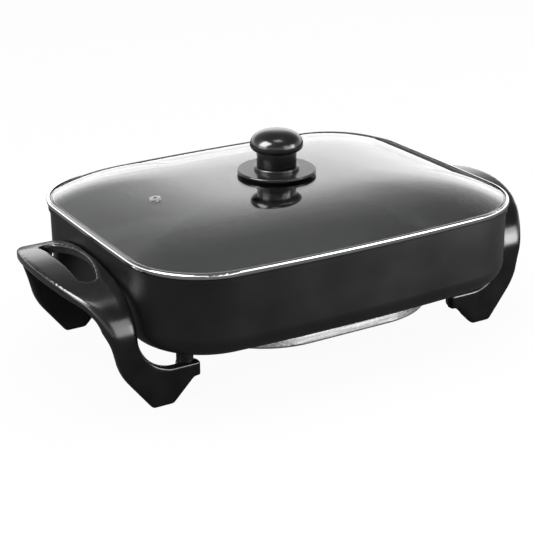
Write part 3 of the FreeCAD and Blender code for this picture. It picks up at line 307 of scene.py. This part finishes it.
def glass_material():
    """Clear tempered glass that lets the lamps light the pan below."""
    tree = Tree("dome_glass")
    tree.set(Transmission_Weight=1.0, IOR=1.5)
    tree.shader.inputs["Base Color"].default_value = (0.97, 0.985, 0.98, 1)
    film = tree.noise(30.0, 4.0)
    tree.rough(film, 0.0, 0.012)
    clear = tree.add("ShaderNodeBsdfTransparent")
    clear.inputs["Color"].default_value = (0.93, 0.95, 0.945, 1)
    rays = tree.add("ShaderNodeLightPath")
    mix = tree.add("ShaderNodeMixShader")
    tree.link(rays, "Is Shadow Ray", mix, "Fac")
    tree.link(tree.shader, "BSDF", mix, 1)
    tree.link(clear, "BSDF", mix, 2)
    tree.link(mix, "Shader", tree.output, "Surface")
    return tree.material


def make_materials():
    """One material for each slot of the record."""
    polished = (0.62, 0.62, 0.63)
    plated = (0.74, 0.73, 0.71)
    zinc = (0.62, 0.62, 0.63)
    satin = (0.5, 0.5, 0.51)
    return {
        "nonstick_black": nonstick_material(),
        "bare_aluminium": aluminium_material(),
        "element_sheath": sheath_material(),
        "terminal_steel": steel_material("terminal_steel", plated, (0.18, 0.3), 1500.0, (0.05, 1, 1)),
        "terminal_ceramic": ceramic_material(),
        "guard_steel": steel_material("guard_steel", satin, (0.32, 0.45), 1200.0, (0.03, 1.0, 1.0)),
        "screw_steel": steel_material("screw_steel", zinc, (0.25, 0.4), 1800.0, (1.0, 1.0, 0.2)),
        "phenolic_black": phenolic_material(),
        "band_steel": steel_material("band_steel", polished, (0.07, 0.13), 900.0, (0.1, 0.1, 1.0)),
        "dome_glass": glass_material(),
        "insert_brass": brass_material(),
        "seal_rubber": rubber_material(),
    }


def dress_nodes(frame, materials):
    """Each CAD node takes its slot's material."""
    for part in frame["record"]["subparts"]:
        node = frame["nodes"][part["node"]]
        node.data.materials.clear()
        node.data.materials.append(materials[part["material_slot"]])


def body_of(frame, node):
    """Name of the body that a node belongs to."""
    for body, members in frame["record"]["behaviour"]["bodies"].items():
        if node in members:
            return body
    raise ValueError(node)


def stand_in(frame, piece, node, materials):
    """A piece takes a node's place, body, slot and material."""
    slots = {part["node"]: part["material_slot"] for part in frame["record"]["subparts"]}
    piece.data.materials.clear()
    piece.data.materials.append(materials[slots[node]])
    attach(piece, body_of(frame, node))
    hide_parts(node)
    return piece


def applied(piece):
    """Bake a piece's modifiers into its mesh."""
    graph = bpy.context.evaluated_depsgraph_get()
    baked = bpy.data.meshes.new_from_object(piece.evaluated_get(graph))
    piece.modifiers.clear()
    piece.data = baked


def copied(frame, node, name):
    """A loose copy of a CAD node's mesh with its corners welded."""
    piece = bpy.data.objects.new(name, frame["nodes"][node].data.copy())
    bpy.context.scene.collection.objects.link(piece)
    shape = bmesh.new()
    shape.from_mesh(piece.data)
    bmesh.ops.remove_doubles(shape, verts=shape.verts, dist=CORNER_WELD)
    shape.to_mesh(piece.data)
    shape.free()
    return piece


def blend_knees(piece):
    """Round the knees further, where the legs turn down from the grip."""
    group = piece.vertex_groups.new(name="knees")
    for vertex in piece.data.vertices:
        across = (abs(vertex.co.y) - KNEE_INNER) / KNEE_FADE
        upright = 2 * (1 - abs(vertex.co.z - KNEE_MIDDLE) / KNEE_REACH)
        weight = min(across, upright, 1)
        if weight > 0:
            group.add([vertex.index], weight, "REPLACE")
    smooth = piece.modifiers.new("soft_knees", "SMOOTH")
    smooth.factor = SMOOTHING_FACTOR
    smooth.iterations = KNEE_SMOOTHING
    smooth.vertex_group = "knees"
    applied(piece)


def make_moulded_handle(frame, node, materials):
    """Handle with the soft edges and corners of a moulding."""
    piece = copied(frame, node, "moulded_" + node)
    low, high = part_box(node)
    remesh = piece.modifiers.new("even_skin", "REMESH")
    remesh.mode = "VOXEL"
    remesh.voxel_size = HANDLE_VOXEL
    smooth = piece.modifiers.new("soft_edges", "SMOOTH")
    smooth.factor = SMOOTHING_FACTOR
    smooth.iterations = HANDLE_SMOOTHING
    applied(piece)
    blend_knees(piece)
    for vertex in piece.data.vertices:
        for axis in range(3):
            vertex.co[axis] = min(max(vertex.co[axis], low[axis]), high[axis])
    piece.data.polygons.foreach_set("use_smooth", [True] * len(piece.data.polygons))
    return stand_in(frame, piece, node, materials)


def lathed(name, profile):
    """A turned piece from a line of (radius, height) points."""
    shape = bmesh.new()
    line = [shape.verts.new((radius, 0, height)) for radius, height in profile]
    edges = [shape.edges.new(pair) for pair in zip(line, line[1:])]
    bmesh.ops.spin(shape, geom=line + edges, cent=(0, 0, 0), axis=(0, 0, 1), angle=2 * math.pi,
                   steps=LATHE_STEPS, use_merge=True)
    bmesh.ops.remove_doubles(shape, verts=shape.verts, dist=LATHE_WELD)
    bmesh.ops.recalc_face_normals(shape, faces=shape.faces)
    mesh = bpy.data.meshes.new(name)
    shape.to_mesh(mesh)
    shape.free()
    mesh.polygons.foreach_set("use_smooth", [True] * len(mesh.polygons))
    piece = bpy.data.objects.new(name, mesh)
    bpy.context.scene.collection.objects.link(piece)
    return piece


def make_knob(frame, materials):
    """Mushroom knob: straight neck, rolled underside and a domed cap."""
    low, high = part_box("lid_knob")
    cap = high.x
    neck = cap * NECK_SHARE
    height = high.z - low.z
    neck_top = low.z + height * NECK_HEIGHT
    widest = low.z + height * WIDEST_HEIGHT
    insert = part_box("knob_insert")[1].x
    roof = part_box("knob_insert")[1].z
    profile = [(0, roof), (insert, roof), (insert, low.z)]
    profile += [(neck - NECK_CHAMFER, low.z), (neck, low.z + NECK_CHAMFER), (neck, neck_top - NECK_FILLET)]
    step = math.pi / 2 / CAP_STEPS
    for number in range(CAP_STEPS + 1):
        angle = -math.pi / 2 + number * step
        out = neck + (cap - neck) * math.cos(angle)
        profile.append((out, widest + (widest - neck_top) * math.sin(angle)))
    for number in range(1, CAP_STEPS + 1):
        angle = number * step
        across = max(math.cos(angle), 0) ** (2 / CAP_POWER)
        upward = math.sin(angle) ** (2 / CAP_POWER)
        profile.append((cap * across, widest + (high.z - widest) * upward))
    return stand_in(frame, lathed("domed_knob", profile), "lid_knob", materials)


def rounded_plate(name, half_x, half_y, corner, low, high, start=None):
    """Plate with round corners; start gives its left end when that isn't mirrored."""
    shape = bmesh.new()
    left = -half_x if start is None else start
    centres = ((half_x - corner, half_y - corner, 0), (left + corner, half_y - corner, 1),
               (left + corner, corner - half_y, 2), (half_x - corner, corner - half_y, 3))
    ring = []
    for x, y, quarter in centres:
        for number in range(CORNER_STEPS + 1):
            angle = (quarter + number / CORNER_STEPS) * math.pi / 2
            point = (x + corner * math.cos(angle), y + corner * math.sin(angle), low)
            ring.append(shape.verts.new(point))
    face = shape.faces.new(ring)
    raised = bmesh.ops.extrude_face_region(shape, geom=[face])["geom"]
    for item in raised:
        if isinstance(item, bmesh.types.BMVert):
            item.co.z = high
    bmesh.ops.recalc_face_normals(shape, faces=shape.faces)
    mesh = bpy.data.meshes.new(name)
    shape.to_mesh(mesh)
    shape.free()
    piece = bpy.data.objects.new(name, mesh)
    bpy.context.scene.collection.objects.link(piece)
    return piece


def add_bevel(piece, width, segments=4):
    """Round a piece's sharp edges."""
    bevel = piece.modifiers.new("edge", "BEVEL")
    bevel.width = width
    bevel.segments = segments
    bevel.limit_method = "ANGLE"
    bevel.angle_limit = math.radians(BEVEL_DEGREES)
    bevel.harden_normals = True
    piece.data.polygons.foreach_set("use_smooth", [True] * len(piece.data.polygons))


def add_boolean(piece, other, operation):
    """Join or cut one piece with another."""
    step = piece.modifiers.new(operation.lower(), "BOOLEAN")
    step.operation = operation
    step.solver = "EXACT"
    step.object = other


def make_sole(frame, materials):
    """Bare sole plate with its terminal block, hollowed for the element and the bushes."""
    low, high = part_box("heater_plate")
    bottom = high.z - SOLE_DEPTH
    plate = rounded_plate("cast_sole", SOLE_HALF_LENGTH, SOLE_HALF_WIDTH, SOLE_CORNER, bottom, high.z)
    add_bevel(plate, SOLE_EDGE)
    applied(plate)
    block = rounded_plate("block", high.x, BLOCK_HALF_WIDTH, BLOCK_CORNER, low.z, high.z, BLOCK_START)
    add_bevel(block, BLOCK_EDGE, BLOCK_EDGE_SEGMENTS)
    add_boolean(plate, block, "UNION")
    helpers = [block]
    for node in ("heating_element", "pin_insulator_front", "pin_insulator_back"):
        buried = copied(frame, node, "buried_" + node)
        swell = buried.modifiers.new("swell", "DISPLACE")
        swell.strength = BURIED_CLEARANCE
        swell.mid_level = 0.0
        add_boolean(plate, buried, "DIFFERENCE")
        helpers.append(buried)
    applied(plate)
    for helper in helpers:
        bpy.data.objects.remove(helper)
    return stand_in(frame, plate, "heater_plate", materials)


def cross_cutter(centre, radius, depth, bottom):
    """Tapered cross that cuts a screw's recess, pointing up from under the head."""
    shape = bmesh.new()
    reach = radius * RECESS_REACH
    half = radius * RECESS_HALF_WIDTH
    for along_x in (True, False):
        size_x, size_y = (reach, half) if along_x else (half, reach)
        made = bmesh.ops.create_cube(shape, size=1.0)["verts"]
        for vertex in made:
            top = vertex.co.z > 0
            share = RECESS_TAPER if top else 1.0
            vertex.co.x *= 2 * size_x * share
            vertex.co.y *= 2 * size_y * share
            vertex.co.z = bottom + (depth if top else -depth)
            vertex.co += Vector((centre.x, centre.y, 0))
    mesh = bpy.data.meshes.new("recess")
    shape.to_mesh(mesh)
    shape.free()
    cutter = bpy.data.objects.new("recess", mesh)
    bpy.context.scene.collection.objects.link(cutter)
    return cutter


def make_screw(frame, node, materials):
    """Screw with a cross recess in its head, which faces down."""
    piece = copied(frame, node, "cut_" + node)
    low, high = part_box(node)
    centre = (low + high) / 2
    radius = (high.x - low.x) / 2
    cutter = cross_cutter(centre, radius, radius * RECESS_DEPTH, low.z)
    cut = piece.modifiers.new("recess", "BOOLEAN")
    cut.operation = "DIFFERENCE"
    cut.solver = "EXACT"
    cut.use_self = True
    cut.object = cutter
    applied(piece)
    bpy.data.objects.remove(cutter)
    stand_in(frame, piece, node, materials)


def make_floor():
    """Pale floor that shows white and keeps the object's shadow."""
    side = 2 * FLOOR_HALF
    bpy.ops.mesh.primitive_grid_add(x_subdivisions=FLOOR_CELLS, y_subdivisions=FLOOR_CELLS, size=side)
    floor = bpy.context.object
    floor.name = "floor"
    floor.location.z = -FLOOR_DROP
    tree = Tree("floor_paper")
    tree.set(Roughness=0.9)
    paper = tree.noise(400.0, 3.0)
    low = (FLOOR_ALBEDO - 0.01,) * 3
    high = (FLOOR_ALBEDO,) * 3
    tree.tint(paper, low, high)
    glow = tree.add("ShaderNodeEmission")
    rays = tree.add("ShaderNodeLightPath")
    dimmed = tree.add("ShaderNodeMath", operation="MULTIPLY")
    dimmed.inputs[1].default_value = FLOOR_GLOSSY_SHARE
    tree.link(rays, "Is Glossy Ray", dimmed, 0)
    direct = tree.add("ShaderNodeMath", operation="MAXIMUM")
    tree.link(rays, "Is Camera Ray", direct, 0)
    tree.link(rays, "Is Transmission Ray", direct, 1)
    seen = tree.add("ShaderNodeMath", operation="MULTIPLY")
    seen.inputs[1].default_value = FLOOR_GLOW_CAMERA
    tree.link(direct, 0, seen, 0)
    share = tree.add("ShaderNodeMath", operation="MAXIMUM")
    tree.link(dimmed, 0, share, 0)
    tree.link(seen, 0, share, 1)
    level = tree.add("ShaderNodeMath", operation="MULTIPLY_ADD")
    level.inputs[1].default_value = FLOOR_GLOSSY_LEVEL - 1
    level.inputs[2].default_value = 1
    tree.link(rays, "Is Glossy Ray", level, 0)
    tree.link(level, 0, glow, "Strength")
    mix = tree.add("ShaderNodeMixShader")
    tree.link(share, 0, mix, "Fac")
    tree.link(tree.shader, "BSDF", mix, 1)
    tree.link(glow, "Emission", mix, 2)
    tree.link(mix, "Shader", tree.output, "Surface")
    floor.data.materials.append(tree.material)


def make_world():
    """White surroundings: bright near the horizon and dimmer overhead, as in a light tent."""
    world = bpy.data.worlds.new("studio")
    bpy.context.scene.world = world
    world.use_nodes = True
    nodes = world.node_tree.nodes
    links = world.node_tree.links
    back = nodes["Background"]
    place = nodes.new("ShaderNodeTexCoord")
    split = nodes.new("ShaderNodeSeparateXYZ")
    links.new(place.outputs["Generated"], split.inputs[0])
    ramp = nodes.new("ShaderNodeValToRGB")
    while len(ramp.color_ramp.elements) < len(TENT_STOPS):
        ramp.color_ramp.elements.new(0.5)
    for element, (position, level) in zip(ramp.color_ramp.elements, TENT_STOPS):
        element.position = position
        element.color = (level, level, level, 1)
    ramp.color_ramp.interpolation = "LINEAR"
    links.new(split.outputs["Z"], ramp.inputs["Fac"])
    tent = nodes.new("ShaderNodeVectorMath")
    tent.operation = "SCALE"
    tent.inputs["Scale"].default_value = TENT_STRENGTH
    links.new(ramp.outputs["Color"], tent.inputs[0])
    rays = nodes.new("ShaderNodeLightPath")
    shown = nodes.new("ShaderNodeMix")
    shown.data_type = "RGBA"
    shown.inputs["A"].default_value = (WORLD_FILL, WORLD_FILL, WORLD_FILL, 1)
    links.new(rays.outputs["Is Glossy Ray"], shown.inputs["Factor"])
    links.new(tent.outputs["Vector"], shown.inputs["B"])
    direct = nodes.new("ShaderNodeMath")
    direct.operation = "MAXIMUM"
    links.new(rays.outputs["Is Camera Ray"], direct.inputs[0])
    links.new(rays.outputs["Is Transmission Ray"], direct.inputs[1])
    white = nodes.new("ShaderNodeMix")
    white.data_type = "RGBA"
    white.inputs["B"].default_value = (1, 1, 1, 1)
    links.new(direct.outputs[0], white.inputs["Factor"])
    links.new(shown.outputs["Result"], white.inputs["A"])
    links.new(white.outputs["Result"], back.inputs["Color"])
    back.inputs["Strength"].default_value = 1.0


def add_lamp(name, place, target, size, power, shows=False):
    """Soft rectangular lamp aimed at a point."""
    lamp = bpy.data.lights.new(name, "AREA")
    lamp.shape = "RECTANGLE"
    lamp.size, lamp.size_y = size
    lamp.energy = power
    holder = bpy.data.objects.new(name, lamp)
    bpy.context.scene.collection.objects.link(holder)
    holder.location = place
    aim = Vector(target) - Vector(place)
    holder.rotation_euler = aim.to_track_quat("-Z", "Y").to_euler()
    holder.visible_glossy = shows
    holder.visible_transmission = False
    return holder


def link_lamps(name, lamps, pieces):
    """Let the lamps light these pieces alone."""
    receivers = bpy.data.collections.new(name)
    for piece in pieces:
        receivers.objects.link(piece)
    for lamp in lamps:
        lamp.light_linking.receiver_collection = receivers


def make_gloss_lamps(mouldings, pan, sole, band):
    """Strip lights for the mouldings' bends, the pan's right half, the sole's edge and the band."""
    left_knee = (-0.24, -0.08, 0.1)
    right_knee = (0.22, -0.1, 0.09)
    knob = (0, 0, 0.195)
    strips = (
        add_lamp("strip_over", (0.05, -0.1, 1.7), left_knee, (0.5, 0.5), 9.0, True),
        add_lamp("strip_left", (-1.05, 0.08, 1.05), left_knee, (0.8, 1.1), 130.0, True),
        add_lamp("strip_front", (0.25, -1.2, 0.5), left_knee, (0.45, 0.8), 11.0, True),
        add_lamp("strip_right", (1.05, -1.1, 0.55), right_knee, (0.5, 0.8), 25.0, True),
        add_lamp("window_left", (-1.5, 0.1, 0.42), knob, (1.1, 0.6), 20.0, True),
        add_lamp("window_front", (0.86, -1.25, 0.4), knob, (0.9, 0.55), 17.0, True),
    )
    link_lamps("moulded_pieces", strips, mouldings)
    right_wall = (0.15, -0.16, 0.06)
    pan_strip = add_lamp("strip_pan", (1.1, -1.2, 0.3), right_wall, (0.5, 0.5), 32.0, True)
    link_lamps("pan_alone", [pan_strip], [pan])
    sole_front = (0.03, -0.1, 0.01)
    sole_strip = add_lamp("strip_sole", (0.5, -1.3, 0.12), sole_front, (0.8, 0.2), 30.0, True)
    link_lamps("sole_alone", [sole_strip], [sole])
    front_edge = (0, -0.165, 0.135)
    band_strips = (
        add_lamp("band_right", (0.85, -1.25, 0.85), front_edge, (0.8, 1.3), 14.0, True),
        add_lamp("band_left", (-1.35, -0.45, 0.85), front_edge, (1.4, 1.2), 20.0, True),
    )
    link_lamps("band_alone", band_strips, [band])


def make_lamps():
    """Soft boxes left, right and overhead."""
    add_lamp("box_left", (-1.6, -0.5, 1.1), (0, 0, 0.08), (0.5, 1.2), 18.0)
    add_lamp("box_right", (1.7, -0.3, 1.2), (0.1, 0, 0.1), (0.5, 1.2), 16.0)
    add_lamp("box_top", (0.0, 0.2, 1.9), (0, 0, 0.1), (1.4, 1.0), 16.0)


def make_camera():
    """Camera at the photograph's place, angle and lens."""
    back = Vector((
        math.sin(CAMERA_AZIMUTH) * math.cos(CAMERA_ELEVATION),
        -math.cos(CAMERA_AZIMUTH) * math.cos(CAMERA_ELEVATION),
        math.sin(CAMERA_ELEVATION),
    ))
    right = (-back).cross(Vector((0, 0, 1))).normalized()
    up = right.cross(-back)
    turned_right = right * math.cos(CAMERA_ROLL) + up * math.sin(CAMERA_ROLL)
    turned_up = up * math.cos(CAMERA_ROLL) - right * math.sin(CAMERA_ROLL)
    camera = bpy.data.objects.new("camera", bpy.data.cameras.new("camera"))
    bpy.context.scene.collection.objects.link(camera)
    camera.data.lens = CAMERA_LENS
    camera.data.sensor_width = SENSOR_WIDTH
    rotation = Matrix((turned_right, turned_up, back)).transposed()
    camera.matrix_world = Matrix.Translation(CAMERA_PLACE) @ rotation.to_4x4()
    bpy.context.scene.camera = camera


def main():
    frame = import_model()
    bpy.context.scene.view_settings.view_transform = "Standard"
    make_camera()
    make_world()
    make_floor()
    make_lamps()
    materials = make_materials()
    dress_nodes(frame, materials)
    glossy = [make_moulded_handle(frame, node, materials) for node in ("right_handle", "left_handle")]
    for node in sorted(frame["nodes"]):
        if "screw" in node:
            make_screw(frame, node, materials)
    glossy += [make_knob(frame, materials), frame["nodes"]["knob_flange"], frame["nodes"]["knob_collar"]]
    sole = make_sole(frame, materials)
    make_gloss_lamps(glossy, frame["nodes"]["skillet_pan"], sole, frame["nodes"]["lid_rim"])


main()
